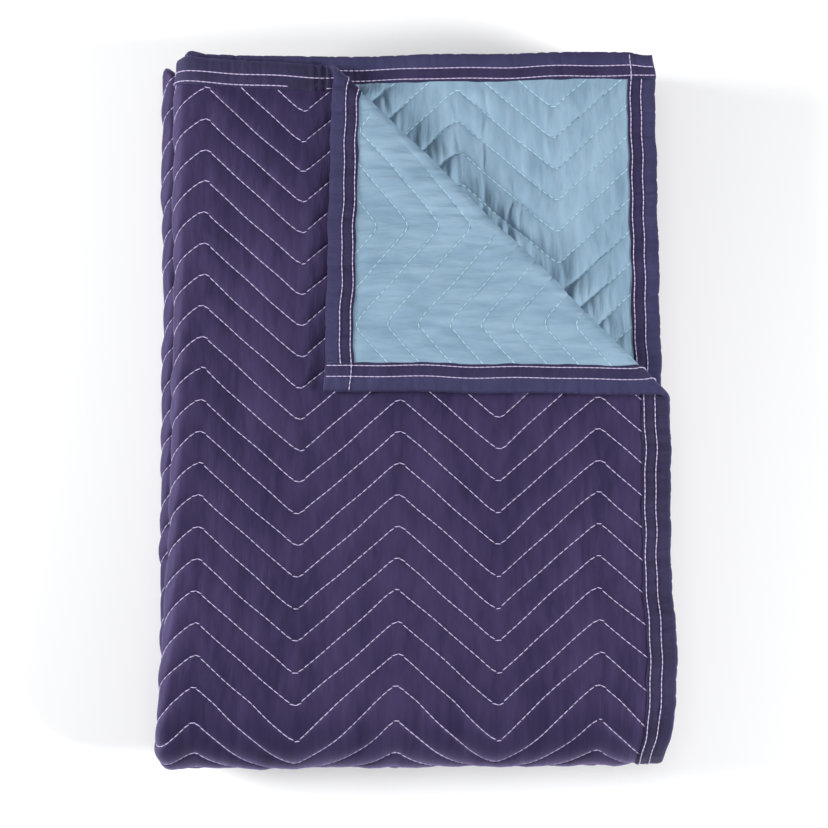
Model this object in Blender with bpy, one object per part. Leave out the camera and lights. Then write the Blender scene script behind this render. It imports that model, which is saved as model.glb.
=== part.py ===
"""A quilted moving blanket, folded for the shelf: in half along its length, in thirds across
its width and in half again. The top layer's corner is turned back over the pile.

The pieces are those that a maker cuts: the face cloth, the back cloth and four binding
strips. Each is built flat, in the cloth's own coordinates, and every point then goes through
the same folds. Metres, +Z up, origin at the centre of the pile's footprint."""

import bisect
import itertools
import math

import bmesh
import bpy
from mathutils import Vector

# The finished blanket, laid flat: u runs across it, v along it, w out of its face side.
WIDTH = 0.957
LENGTH = 1.792

# The cloth's half thickness at a seam and at the crown of a puff, and the gap between plies.
SEAM_HALF = 0.0011
PUFF_HALF = 0.0024
PLY_GAP_HALF = 0.00015
PRESSED = 0.6  # how full a puff stays inside the pile

# Binding: a strip folded round the raw edge.
BAND_DEEP = 0.0172
BAND_THICK = 0.0010
BAND_GAP = 0.0003
BAND_OUT = BAND_THICK + BAND_GAP
SEAM_MARGIN = 0.0180
PUFF_MARGIN = 0.0225

# Chevron quilting: rows of stitches along u, each a zigzag of straight runs.
ROW_PITCH = 0.02044
ROW_SLOPE = 0.0048  # from a row of stitches to where its puffs are full, along v
HALF_WAVE = 0.0636
WAVE_RISE = 0.0535
WAVE_START = 0.0403  # u of the first crest at v = 0
ROW_START = 0.0391  # v of a crest near the v = 0 end
WAVE_DRIFT = 0.0135  # how far the crests wander in u for each metre of v, in metres

# The pile. One layer's share of the height, and the folds' places in u and v.
PITCH = 0.0056
THIRD_BEND = math.pi * PITCH
FIRST_THIRD = 0.308
SECOND_THIRD = 0.310
LEFT_BEND = (FIRST_THIRD, FIRST_THIRD + THIRD_BEND)
RIGHT_BEND = (LEFT_BEND[1] + SECOND_THIRD, LEFT_BEND[1] + SECOND_THIRD + THIRD_BEND)
FRONT_STRETCH = 1.32  # the front fold is deeper than it is high
FRONT_BEND_LENGTH = math.pi * 3 * PITCH * (1 + FRONT_STRETCH) / 2
FRONT_BEND = (
    LENGTH / 4 - FRONT_BEND_LENGTH / 2,
    LENGTH / 4 + FRONT_BEND_LENGTH / 2,
)
HALFWAY_BEND = (
    LENGTH / 2 - math.pi * PITCH / 4,
    LENGTH / 2 + math.pi * PITCH / 4,
)
PILE_MIDDLE = 5.5 * PITCH + PUFF_HALF

# The pile's sides, for places along the folded strip: the centres of the folds across it, and
# where the binding of the face layer and of the back layer ends.
SIDE_ROWS = (
    # along, left fold, right fold, face layer, back layer
    (0.0, -0.1504, 0.1440, 0.1593, 0.1550),
    (0.250, -0.1491, 0.1455, 0.1622, 0.1575),
    (0.340, -0.1511, 0.1480, 0.1614, 0.1575),
    (FRONT_BEND[0], -0.1564, 0.1565, 0.1640, 0.1590),
    (LENGTH / 4, -0.1586, 0.1530, 0.1620, 0.1590),
    (FRONT_BEND[1], -0.1600, 0.1520, 0.1580, 0.1570),
    (0.600, -0.1612, 0.1530, 0.1540, 0.1540),
    (0.740, -0.1618, 0.1470, 0.1520, 0.1520),
    (LENGTH / 2, -0.1640, 0.1440, 0.1520, 0.1520),
)
# Over this stretch of the length, the side's edge passes from the face layer's to the other's.
FACE_TO_BACK = (0.375, 0.625)
# The pile's two ends. At its back, where the face layer, the back layer and the doubled end
# reach. At its front, the middle of the fold. The turned-back corner pulls in the face layer.
END_ROWS = (
    # u, face layer, back layer, doubled end, front
    (0.0, 0.2345, 0.2385, 0.2335, -0.1835),
    (0.225, 0.2278, 0.2345, 0.2333, -0.1853),
    (LEFT_BEND[0], 0.2324, 0.2362, 0.2330, -0.1861),
    (LEFT_BEND[1], 0.2330, 0.2355, 0.2335, -0.1861),
    (RIGHT_BEND[0], 0.2355, 0.2362, 0.2365, -0.1835),
    (RIGHT_BEND[1], 0.2348, 0.2335, 0.2350, -0.1835),
    (WIDTH, 0.2315, 0.2290, 0.2310, -0.1861),
)

# The corner turned back: where its crease meets the blanket's two edges, from the corner, and
# how far it slides along the crease for each metre away from it.
CREASE_ALONG_END = 0.2117
CREASE_ALONG_SIDE = 0.2220
CREASE_SLIDE = 0.037
CREASE_RADIUS = 0.0033
CREASE_STEPS = 5

# How finely the folds are cut.
THIRD_STEPS = 5
HALFWAY_STEPS = 4
FRONT_STEPS = 8
SPARE = 8  # rows and waves of quilting laid past the blanket's edges, then trimmed
SAME_PLACE = 1e-6
STRAIGHT = math.radians(0.5)

NAVY = (0.055, 0.042, 0.120, 1)
SKY = (0.250, 0.420, 0.560, 1)
BAND_NAVY = (0.040, 0.035, 0.090, 1)
CLOTH_ROUGHNESS = 0.75
BAND_ROUGHNESS = 0.8


def between(rows, at, column):
    """The value between the rows of a table, by its first column."""
    for low, high in zip(rows, rows[1:]):
        if at <= high[0]:
            break
    return low[column] + (high[column] - low[column]) * (at - low[0]) / (high[0] - low[0])


def even_steps(low, high, steps):
    return [low + (high - low) * i / steps for i in range(steps + 1)]


def fold_lines():
    """Every piece is cut along these lines across u and across v, and is straight between."""
    across = {row[0] for row in END_ROWS}
    for bend in (LEFT_BEND, RIGHT_BEND):
        across.update(even_steps(*bend, THIRD_STEPS))
    near = {row[0] for row in SIDE_ROWS if row[0] < HALFWAY_BEND[0]}
    near.update(even_steps(*FRONT_BEND, FRONT_STEPS))
    along = near | {LENGTH - v for v in near}
    along.update(even_steps(*HALFWAY_BEND, HALFWAY_STEPS))
    return without_twins(across), without_twins(along)


def without_twins(values):
    kept = []
    for value in sorted(values):
        if not kept or value - kept[-1] > SAME_PLACE:
            kept.append(value)
    return kept


LINES_U, LINES_V = fold_lines()


# The folds, in the order in which they are made.


def turn_back_corner(point):
    """The corner at u = v = 0, turned back over its crease, still in the flat blanket."""
    first, inward = crease_line()
    past = (first - point.xy).dot(inward)
    if past <= 0:
        return point
    w = point.z
    bend = math.pi * CREASE_RADIUS
    angle = min(past / CREASE_RADIUS, math.pi)
    flat_run = max(0.0, past - bend)
    reach = (CREASE_RADIUS - w) * math.sin(angle) - flat_run
    slide = Vector((-inward.y, inward.x)) * CREASE_SLIDE * flat_run
    place = point.xy + inward * (past - reach) + slide
    rise = CREASE_RADIUS - (CREASE_RADIUS - w) * math.cos(angle)
    return Vector((place.x, place.y, rise))


def crease_line():
    """A point of the line where the turn starts, and the direction away from the corner."""
    ends = Vector((CREASE_ALONG_END, 0)), Vector((0, CREASE_ALONG_SIDE))
    run = (ends[1] - ends[0]).normalized()
    inward = Vector((run.y, -run.x))
    return ends[0] + inward * (CREASE_RADIUS + PUFF_HALF), inward


def fold_in_half(v, w):
    """Along the length, back sides together: (distance along the strip, height in two layers)."""
    radius = PITCH / 2
    start, end = HALFWAY_BEND
    if v <= start:
        return v, radius + w
    if v >= end:
        return LENGTH - v, -(radius + w)
    angle = (v - start) / radius
    return start + (radius + w) * math.sin(angle), (radius + w) * math.cos(angle)


def fold_in_thirds(u, h, along, face_share):
    """Across the width, back and forth: (x, height in six layers)."""
    right_edge = (
        between(SIDE_ROWS, along, 3) * face_share
        + between(SIDE_ROWS, along, 4) * (1 - face_share)
        - BAND_OUT
    )
    left, right = between(SIDE_ROWS, along, 1), between(SIDE_ROWS, along, 2)
    if u <= LEFT_BEND[0]:
        return right_edge + (left - right_edge) * u / LEFT_BEND[0], 2 * PITCH + h
    if u < LEFT_BEND[1]:
        angle = math.pi * (u - LEFT_BEND[0]) / THIRD_BEND
        radius = PITCH + h
        return left - radius * math.sin(angle), PITCH + radius * math.cos(angle)
    if u <= RIGHT_BEND[0]:
        share = (u - LEFT_BEND[1]) / SECOND_THIRD
        return left + (right - left) * share, -h
    if u < RIGHT_BEND[1]:
        angle = math.pi * (u - RIGHT_BEND[0]) / THIRD_BEND
        radius = PITCH - h
        return right + radius * math.sin(angle), -PITCH + radius * math.cos(angle)
    return right - (u - RIGHT_BEND[1]), h - 2 * PITCH


def fold_again(along, g, near_end, far_end, front):
    """Along the length again, with the fold at the front: (y, z)."""
    radius = 3 * PITCH + g
    if along <= FRONT_BEND[0]:
        share = along / FRONT_BEND[0]
        y = near_end - BAND_OUT
        return y + (front - y) * share, PILE_MIDDLE + radius
    if along < FRONT_BEND[1]:
        angle = math.pi * (along - FRONT_BEND[0]) / FRONT_BEND_LENGTH
        y = front - FRONT_STRETCH * radius * math.sin(angle)
        return y, PILE_MIDDLE + radius * math.cos(angle)
    share = (along - FRONT_BEND[1]) / (LENGTH / 2 - FRONT_BEND[1])
    return front + (far_end - front) * share, PILE_MIDDLE - radius


def folded_on_line(u, v, w):
    """Where a point on two fold lines of the flat blanket lies once it is folded."""
    along, h = fold_in_half(v, w)
    passed = (v / LENGTH - FACE_TO_BACK[0]) / (FACE_TO_BACK[1] - FACE_TO_BACK[0])
    face_share = min(1.0, max(0.0, 1 - passed))
    x, g = fold_in_thirds(u, h, along, face_share)
    near_end = between(END_ROWS, u, 1 if v < LENGTH / 2 else 2)
    far_end, front = between(END_ROWS, u, 3), between(END_ROWS, u, 4)
    y, z = fold_again(along, g, near_end, far_end, front)
    return Vector((x, y, z))


def lines_round(lines, at):
    """The two neighbouring lines between which a place lies, or to which it is nearest."""
    i = min(max(bisect.bisect(lines, at), 1), len(lines) - 1)
    return lines[i - 1], lines[i]


def folded(flat):
    """Where any point lies once it is folded: straight between the fold lines round it."""
    point = turn_back_corner(flat)
    low_u, high_u = lines_round(LINES_U, point.x)
    low_v, high_v = lines_round(LINES_V, point.y)
    share_u = (point.x - low_u) / (high_u - low_u)
    share_v = (point.y - low_v) / (high_v - low_v)
    corners = (
        (low_u, low_v, (1 - share_u) * (1 - share_v)),
        (high_u, low_v, share_u * (1 - share_v)),
        (low_u, high_v, (1 - share_u) * share_v),
        (high_u, high_v, share_u * share_v),
    )
    place = Vector((0, 0, 0))
    for u, v, share in corners:
        place += share * folded_on_line(u, v, point.z)
    return place


# Flat meshes. Their third coordinate holds how full the puff is, from 0 to 1.


def cut(bm, axis, at, inside=None, clear=None):
    """Cuts the faces that inside() picks along a line across u or v, or clears one side."""
    normal = Vector((1, 0, 0)) if axis == 0 else Vector((0, 1, 0))
    cut_plane(bm, normal * at, normal, inside, clear)


def cut_plane(bm, point, normal, inside=None, clear=None):
    faces = [f for f in bm.faces if inside is None or inside(f.calc_center_median())]
    edges = {e for f in faces for e in f.edges}
    verts = {v for f in faces for v in f.verts}
    bmesh.ops.bisect_plane(
        bm,
        geom=[*faces, *edges, *verts],
        dist=SAME_PLACE,
        plane_co=point,
        plane_no=normal,
        clear_outer=clear == "above",
        clear_inner=clear == "below",
    )


def row_v(tau):
    """The v at a distance tau along the outside of the pile, where the front fold is longer."""
    outside = math.pi * 5.5 * PITCH * (1 + FRONT_STRETCH) / 2
    extra = outside - FRONT_BEND_LENGTH
    for bend_start in (FRONT_BEND[0], LENGTH - FRONT_BEND[1]):
        if tau <= bend_start:
            return tau
        if tau < bend_start + outside:
            return bend_start + (tau - bend_start) * FRONT_BEND_LENGTH / outside
        tau -= extra
    return tau


def chevron_grid():
    """Quads between the rows of stitches and the full puffs, over all of the blanket."""
    bm = bmesh.new()
    waves = range(-SPARE, round(WIDTH / HALF_WAVE) + SPARE)
    grid = []
    for row in range(-SPARE, round(LENGTH / ROW_PITCH) + SPARE):
        for offset, fullness in ((0, 0), (ROW_SLOPE, 1), (ROW_PITCH - ROW_SLOPE, 1)):
            line = []
            for wave in waves:
                tau = ROW_START + row * ROW_PITCH + offset + WAVE_RISE * (wave % 2)
                u = WAVE_START + wave * HALF_WAVE + WAVE_DRIFT * tau
                line.append(bm.verts.new((u, row_v(tau), fullness)))
            grid.append(line)
    for low, high in zip(grid, grid[1:]):
        for i in range(len(low) - 1):
            bm.faces.new((low[i], low[i + 1], high[i + 1], high[i]))
    for axis, size in ((0, WIDTH), (1, LENGTH)):
        cut(bm, axis, 0, clear="below")
        cut(bm, axis, size, clear="above")
    return bm


def crease_cuts():
    """Points and a direction of the cuts that let the turned-back corner bend."""
    first, inward = crease_line()
    band = math.pi * CREASE_RADIUS
    points = [first - inward * band * i / CREASE_STEPS for i in range(CREASE_STEPS + 1)]
    return [Vector((p.x, p.y, 0)) for p in points], Vector((-inward.x, -inward.y, 0))


def in_top_corner(centre):
    return centre.x < LEFT_BEND[0] and centre.y < FRONT_BEND[0]


def margin_depth(point):
    """How far a flat point lies from the blanket's nearest edge."""
    return min(point.x, point.y, WIDTH - point.x, LENGTH - point.y)


def merge_plain_cells(bm, is_puffed, margins_u, margins_v):
    """Joins the plain faces that lie between the same cuts."""

    def lies_on(edge, axis, lines):
        ends = [v.co[axis] for v in edge.verts]
        return any(all(abs(end - at) < 2 * SAME_PLACE for end in ends) for at in lines)

    def is_kept(edge):
        if lies_on(edge, 0, LINES_U) or lies_on(edge, 1, LINES_V):
            return True
        middle = (edge.verts[0].co + edge.verts[1].co) / 2
        if margin_depth(middle) < SEAM_MARGIN - SAME_PLACE:
            return False
        return lies_on(edge, 0, margins_u) or lies_on(edge, 1, margins_v)

    plain = {f for f in bm.faces if not is_puffed(f.calc_center_median())}
    edges = [
        e
        for e in bm.edges
        if not e.is_boundary and set(e.link_faces) <= plain and not is_kept(e)
    ]
    bmesh.ops.dissolve_edges(bm, edges=edges, use_verts=False)
    drop_straight_points(bm)


def drop_straight_points(bm):
    loose = [
        v
        for v in bm.verts
        if len(v.link_edges) == 2 and abs(v.calc_edge_angle(math.pi)) < STRAIGHT
    ]
    bmesh.ops.dissolve_verts(bm, verts=loose)


def outer_mesh(puffed_areas):
    """A ply's outer side: puffs stand up in the areas, each (u low, u high, v low, v high)."""

    def is_puffed(c):
        in_area = any(a < c.x < b and d < c.y < e for a, b, d, e in puffed_areas)
        return in_area and margin_depth(c) > SEAM_MARGIN

    bm = chevron_grid()
    margins_u = [SEAM_MARGIN, PUFF_MARGIN, WIDTH - PUFF_MARGIN, WIDTH - SEAM_MARGIN]
    margins_v = [SEAM_MARGIN, PUFF_MARGIN, LENGTH - PUFF_MARGIN, LENGTH - SEAM_MARGIN]
    for low_u, high_u, low_v, high_v in puffed_areas:
        for at in (low_u, high_u):
            cut(bm, 0, at, lambda c, a=low_v, b=high_v: a < c.y < b)
        for at in (low_v, high_v):
            cut(bm, 1, at, lambda c, a=low_u, b=high_u: a < c.x < b)
    for at in margins_u + LINES_U[1:-1]:
        cut(bm, 0, at)
    for at in margins_v + LINES_V[1:-1]:
        cut(bm, 1, at)
    for vert in bm.verts:
        if margin_depth(vert.co) < SEAM_MARGIN + SAME_PLACE:
            vert.co.z = 0
        elif not all(is_puffed(f.calc_center_median()) for f in vert.link_faces):
            vert.co.z = PRESSED
    merge_plain_cells(bm, is_puffed, margins_u, margins_v)
    return bm


def smooth_crease(bm):
    """Leaves one even band where the corner turns back, and cuts it lengthwise."""
    points, out = crease_cuts()
    for point in (points[0], points[-1]):
        cut_plane(bm, point, out, in_top_corner)

    def in_band(face):
        centre = face.calc_center_median()
        past = (centre - points[0]).dot(out)
        return in_top_corner(centre) and 0 < past < (points[-1] - points[0]).dot(out)

    band = {f for f in bm.faces if in_band(f)}
    for face in band:
        for vert in face.verts:
            if margin_depth(vert.co) > SEAM_MARGIN + SAME_PLACE:
                vert.co.z = PRESSED
    edges = [
        e
        for e in bm.edges
        if not e.is_boundary
        and set(e.link_faces) <= band
        and min(margin_depth(v.co) for v in e.verts) > SEAM_MARGIN + 2 * SAME_PLACE
    ]
    bmesh.ops.dissolve_edges(bm, edges=edges, use_verts=False)
    for point in points[1:-1]:
        cut_plane(bm, point, out, in_top_corner)
    drop_straight_points(bm)


def inner_mesh():
    """A ply's plain inner side, cut only where it bends."""
    bm = bmesh.new()
    rows = [[bm.verts.new((u, v, 0)) for u in LINES_U] for v in LINES_V]
    for low, high in zip(rows, rows[1:]):
        for i in range(len(low) - 1):
            bm.faces.new((low[i], low[i + 1], high[i + 1], high[i]))
    points, out = crease_cuts()
    for point in points:
        cut_plane(bm, point, out, in_top_corner)
    return bm


def rounded(point):
    return round(point.x, 5), round(point.y, 5)


def ply_solid(name, outer, side, material):
    """The flat ply as a closed slab on its side of the blanket, folded. side is 1 or -1."""
    inner = inner_mesh()
    for bm in (outer, inner):
        bm.verts.index_update()
    points, faces = [], []
    for vert in outer.verts:
        half = SEAM_HALF + (PUFF_HALF - SEAM_HALF) * vert.co.z
        points.append((vert.co.x, vert.co.y, side * half))
    count = len(points)
    points += [(v.co.x, v.co.y, side * PLY_GAP_HALF) for v in inner.verts]
    faces += [[v.index for v in f.verts][::side] for f in outer.faces]
    faces += [[v.index + count for v in f.verts][::-side] for f in inner.faces]
    rim = {rounded(v.co): v.index + count for v in inner.verts if v.is_boundary}
    for edge in outer.edges:
        if edge.is_boundary:
            loop = edge.link_loops[0]
            a, b = loop.vert, loop.link_loop_next.vert
            wall = [b.index, a.index, rim[rounded(a.co)], rim[rounded(b.co)]]
            faces.append(wall[::side])
    outer.free()
    inner.free()
    add_object(name, points, faces, material)


def cell_solid(cells_u, cells_v, cells_w, is_empty):
    """A closed mesh round all the cells of a box grid except those that is_empty picks."""
    sizes = [len(c) - 1 for c in (cells_u, cells_v, cells_w)]
    steps = ((1, 0, 0), (0, 1, 0), (0, 0, 1))
    bm = bmesh.new()
    corners = {}

    def is_full(cell):
        inside = all(0 <= n < size for n, size in zip(cell, sizes))
        return inside and not is_empty(*cell)

    def vert(i, j, k):
        if (i, j, k) not in corners:
            corners[i, j, k] = bm.verts.new((cells_u[i], cells_v[j], cells_w[k]))
        return corners[i, j, k]

    def add_side(cell, axis, far):
        base = [n + far * s for n, s in zip(cell, steps[axis])]
        a, b = steps[(axis + 1) % 3], steps[(axis + 2) % 3]
        ring = [
            vert(*(n + p * x + q * y for n, x, y in zip(base, a, b)))
            for p, q in ((0, 0), (1, 0), (1, 1), (0, 1))
        ]
        bm.faces.new(ring if far else ring[::-1])

    full = [c for c in itertools.product(*map(range, sizes)) if is_full(c)]
    for cell, axis, far in itertools.product(full, range(3), (0, 1)):
        beyond = [n + (2 * far - 1) * s for n, s in zip(cell, steps[axis])]
        if not is_full(beyond):
            add_side(cell, axis, far)
    return bm


def binding_strip(name, axis, at_far_side, capped_far, material):
    """One strip: axis 0 runs along v on a u side, axis 1 along u on a v side.

    It covers the corner at its capped end, and stops short of the strip that covers the other."""
    across, long = (WIDTH, LENGTH) if axis == 0 else (LENGTH, WIDTH)
    depth = [-BAND_OUT, -BAND_GAP, BAND_DEEP]
    run = [-BAND_OUT, -BAND_GAP, long - BAND_DEEP - BAND_GAP]
    height = [-PUFF_HALF, BAND_THICK - PUFF_HALF, PUFF_HALF - BAND_THICK, PUFF_HALF]
    if at_far_side:
        depth = [across - d for d in reversed(depth)]
    if capped_far:
        run = [long - r for r in reversed(run)]
    open_depth = 0 if at_far_side else 1
    open_run = 0 if capped_far else 1

    def is_empty(i, j, k):
        d, r = (i, j) if axis == 0 else (j, i)
        return d == open_depth and r == open_run and k == 1

    cells = (depth, run) if axis == 0 else (run, depth)
    bm = cell_solid(*cells, height, is_empty)
    for at in LINES_V if axis == 0 else LINES_U:
        if run[0] < at < run[-1]:
            cut(bm, 1 - axis, at)
    points, out = crease_cuts()
    for point in points:
        cut_plane(bm, point, out, in_top_corner)
    bm.verts.index_update()
    spots = [tuple(v.co) for v in bm.verts]
    faces = [[v.index for v in f.verts] for f in bm.faces]
    bm.free()
    add_object(name, spots, faces, material)


def add_object(name, flat_points, faces, material):
    mesh = bpy.data.meshes.new(name)
    mesh.from_pydata([folded(Vector(p)) for p in flat_points], [], faces)
    mesh.materials.append(material)
    obj = bpy.data.objects.new(name, mesh)
    bpy.context.scene.collection.objects.link(obj)


def cloth_material(name, colour, roughness):
    material = bpy.data.materials.new(name)
    material.use_nodes = True
    shader = material.node_tree.nodes["Principled BSDF"]
    shader.inputs["Base Color"].default_value = colour
    shader.inputs["Roughness"].default_value = roughness
    material.diffuse_color = colour
    return material


def centre_on_footprint():
    """Moves every piece so that the pile's box stands on the origin, centred."""
    objects = [o for o in bpy.context.scene.objects if o.type == "MESH"]
    corners = [v.co for o in objects for v in o.data.vertices]
    low = [min(c[i] for c in corners) for i in range(3)]
    high = [max(c[i] for c in corners) for i in range(3)]
    shift = Vector((-(low[0] + high[0]) / 2, -(low[1] + high[1]) / 2, -low[2]))
    for obj in objects:
        for vertex in obj.data.vertices:
            vertex.co += shift


def main():
    for obj in list(bpy.data.objects):
        bpy.data.objects.remove(obj)
    navy = cloth_material("face_navy", NAVY, CLOTH_ROUGHNESS)
    sky = cloth_material("back_sky", SKY, CLOTH_ROUGHNESS)
    band = cloth_material("binding_navy", BAND_NAVY, BAND_ROUGHNESS)

    face = outer_mesh([(0, LEFT_BEND[1], 0, HALFWAY_BEND[0])])
    smooth_crease(face)
    ply_solid("face_cloth", face, 1, navy)

    shown = LINES_V[1]
    back = outer_mesh([(0, shown, 0, shown), (0, shown, LENGTH - shown, LENGTH)])
    smooth_crease(back)
    ply_solid("back_cloth", back, -1, sky)

    binding_strip("binding_right_side", 0, False, False, band)
    binding_strip("binding_back_end", 1, True, False, band)
    binding_strip("binding_left_side", 0, True, True, band)
    binding_strip("binding_face_end", 1, False, True, band)
    centre_on_footprint()


main()
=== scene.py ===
# %% [markdown]
# # A folded moving blanket
#
# A moving blanket is two plies of thin satin cloth with a flat filling between them. Rows of
# zigzag stitches hold the three layers together, and a folded tape binds the raw edges. Here it
# is folded into a pile of twelve layers, with one corner turned back.
#
# The trick of this script is to sew first and fold later. Every piece is made flat, in the
# blanket's own coordinates: u across it, v along it and w out of its navy side. One function,
# `folded`, then takes each point through the same folds. So pieces that meet when the blanket
# lies flat still meet in the pile, and the quilting bends with the cloth.

# %% The frame
import math

import bmesh
import bpy
import numpy as np
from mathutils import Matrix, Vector


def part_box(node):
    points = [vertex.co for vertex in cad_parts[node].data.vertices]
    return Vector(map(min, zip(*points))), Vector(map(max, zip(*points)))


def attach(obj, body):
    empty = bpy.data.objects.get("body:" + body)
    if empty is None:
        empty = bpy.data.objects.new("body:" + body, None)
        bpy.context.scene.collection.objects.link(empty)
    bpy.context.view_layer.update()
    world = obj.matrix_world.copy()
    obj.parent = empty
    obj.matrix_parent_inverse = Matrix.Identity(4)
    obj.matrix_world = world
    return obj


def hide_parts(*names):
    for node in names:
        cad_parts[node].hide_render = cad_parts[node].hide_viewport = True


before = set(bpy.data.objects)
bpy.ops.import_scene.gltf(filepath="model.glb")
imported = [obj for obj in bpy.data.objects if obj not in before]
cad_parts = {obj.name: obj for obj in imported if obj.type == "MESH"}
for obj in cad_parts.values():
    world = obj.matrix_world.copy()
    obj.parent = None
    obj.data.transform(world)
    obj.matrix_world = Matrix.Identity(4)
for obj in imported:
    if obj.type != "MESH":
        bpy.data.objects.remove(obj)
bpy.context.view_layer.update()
print("nodes:", ", ".join(sorted(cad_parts)))

# %% [markdown]
# ## Sizes
#
# The flat sizes and the places of the folds are those of the solids, so that each piece lies
# where its solid does. Two corners of the solids' boxes give the pile's place on the floor.

# %% Sizes of the cloth
MM = 0.001
WIDTH = 957 * MM
LENGTH = 1792 * MM
SEAM_HALF = 0.75 * MM
BOUND_HALF = 1.1 * MM  # half the thickness under the binding
PUFF_HALF = 2.4 * MM
BAND_DEEP = 17.2 * MM
BAND_OUT = 1.3 * MM

ROW_PITCH = 20.44 * MM
ROW_START = 39.1 * MM
HALF_WAVE = 63.6 * MM
WAVE_RISE = 53.5 * MM
WAVE_START = 40.3 * MM
WAVE_DRIFT = 0.0135
TURN_LENGTH = 8 * MM  # how far the stitching takes to settle into a new direction
TURN_SLOPE = 0.3  # how steep it is just after the turn, as a share of the full slope

# %% Places of the folds
PITCH = 5.6 * MM
LEFT_BEND = (308 * MM, 308 * MM + math.pi * PITCH)
RIGHT_BEND = (LEFT_BEND[1] + 310 * MM, LEFT_BEND[1] + 310 * MM + math.pi * PITCH)
FRONT_STRETCH = 1.32
FRONT_LENGTH = math.pi * 3 * PITCH * (1 + FRONT_STRETCH) / 2
FRONT_BEND = (LENGTH / 4 - FRONT_LENGTH / 2, LENGTH / 4 + FRONT_LENGTH / 2)
HALFWAY_BEND = (LENGTH / 2 - math.pi * PITCH / 4, LENGTH / 2 + math.pi * PITCH / 4)
PILE_MIDDLE = 5.5 * PITCH + PUFF_HALF
PILE_TOP = 2 * PILE_MIDDLE

SIDE_ROWS = (
    # along, left fold, right fold, face layer's edge, back layer's edge
    (0.0, -0.1504, 0.1440, 0.1593, 0.1550),
    (0.250, -0.1491, 0.1455, 0.1622, 0.1575),
    (0.340, -0.1511, 0.1480, 0.1614, 0.1575),
    (FRONT_BEND[0], -0.1564, 0.1565, 0.1640, 0.1590),
    (LENGTH / 4, -0.1586, 0.1530, 0.1620, 0.1590),
    (FRONT_BEND[1], -0.1600, 0.1520, 0.1580, 0.1570),
    (0.600, -0.1612, 0.1530, 0.1540, 0.1540),
    (0.740, -0.1618, 0.1470, 0.1520, 0.1520),
    (LENGTH / 2, -0.1640, 0.1440, 0.1520, 0.1520),
)
END_ROWS = (
    # u, face layer's end, back layer's end, doubled end, middle of the front fold
    (0.0, 0.2345, 0.2385, 0.2335, -0.1835),
    (0.225, 0.2278, 0.2345, 0.2333, -0.1853),
    (LEFT_BEND[0], 0.2324, 0.2362, 0.2330, -0.1861),
    (LEFT_BEND[1], 0.2330, 0.2355, 0.2335, -0.1861),
    (RIGHT_BEND[0], 0.2355, 0.2362, 0.2365, -0.1835),
    (RIGHT_BEND[1], 0.2348, 0.2335, 0.2350, -0.1835),
    (WIDTH, 0.2315, 0.2290, 0.2310, -0.1861),
)
CREASE_ALONG_END = 211.7 * MM
CREASE_ALONG_SIDE = 222.0 * MM
CREASE_SLIDE = 0.037
CREASE_RADIUS = 3.3 * MM

widest_edge = max(row[3] for row in SIDE_ROWS)
furthest_end = max(row[2] for row in END_ROWS)
PLACE_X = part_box("binding_right_side")[1][0] - widest_edge
PLACE_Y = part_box("binding_back_end")[1][1] - furthest_end
print("the pile is moved by", round(PLACE_X / MM, 2), round(PLACE_Y / MM, 2), "mm")

# %% [markdown]
# ## The folds
#
# A fold is a bend of constant radius between two flat runs. With the angle clipped to the bend,
# one formula serves before, in and after it, and numpy can take all points at once. Inner layers
# get a smaller radius and outer layers a larger one, so the layers never cross.

# %% Soft curves through the tables


def soft_curve(rows, column, blur):
    """A table's values against its first column, with the kinks rounded off."""
    at = np.arange(rows[0][0], rows[-1][0], 1 * MM)
    values = np.interp(at, [r[0] for r in rows], [r[column] for r in rows])
    half = int(blur / MM)
    padded = np.pad(values, half, mode="edge")
    kernel = np.hanning(2 * half + 3)[1:-1]
    return at, np.convolve(padded, kernel / kernel.sum(), "valid")


SIDE_CURVES = [soft_curve(SIDE_ROWS, column, 40 * MM) for column in (1, 2, 3, 4)]
END_CURVES = [soft_curve(END_ROWS, column, 14 * MM) for column in (1, 2, 3, 4)]


def read_curve(curve, at):
    return np.interp(at, *curve)


# %% Each fold


def crease_line():
    """A point of the line where the corner starts to turn, and the way away from the corner."""
    ends = np.array([[CREASE_ALONG_END, 0], [0, CREASE_ALONG_SIDE]])
    run = (ends[1] - ends[0]) / np.linalg.norm(ends[1] - ends[0])
    inward = np.array([run[1], -run[0]])
    return ends[0] + inward * (CREASE_RADIUS + PUFF_HALF), inward


def turn_back_corner(flat):
    """The corner at u = v = 0 rolls over the crease and lies face down on the layer."""
    first, inward = crease_line()
    w = flat[:, 2]
    past = (first - flat[:, :2]) @ inward
    angle = np.clip(past / CREASE_RADIUS, 0, math.pi)
    rest = np.maximum(0, past - math.pi * CREASE_RADIUS)
    reach = (CREASE_RADIUS - w) * np.sin(angle) - rest
    turned = flat.copy()
    turned[:, :2] += inward * (past - reach)[:, None]
    turned[:, :2] += np.array([-inward[1], inward[0]]) * (CREASE_SLIDE * rest)[:, None]
    turned[:, 2] = CREASE_RADIUS - (CREASE_RADIUS - w) * np.cos(angle)
    return np.where((past > 0)[:, None], turned, flat)


def fold_in_half(v, w):
    start, end = HALFWAY_BEND
    radius = PITCH / 2 + w
    angle = np.clip((v - start) / (PITCH / 2), 0, math.pi)
    along = np.minimum(v, start) + radius * np.sin(angle) - np.maximum(0, v - end)
    return along, radius * np.cos(angle)


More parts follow.
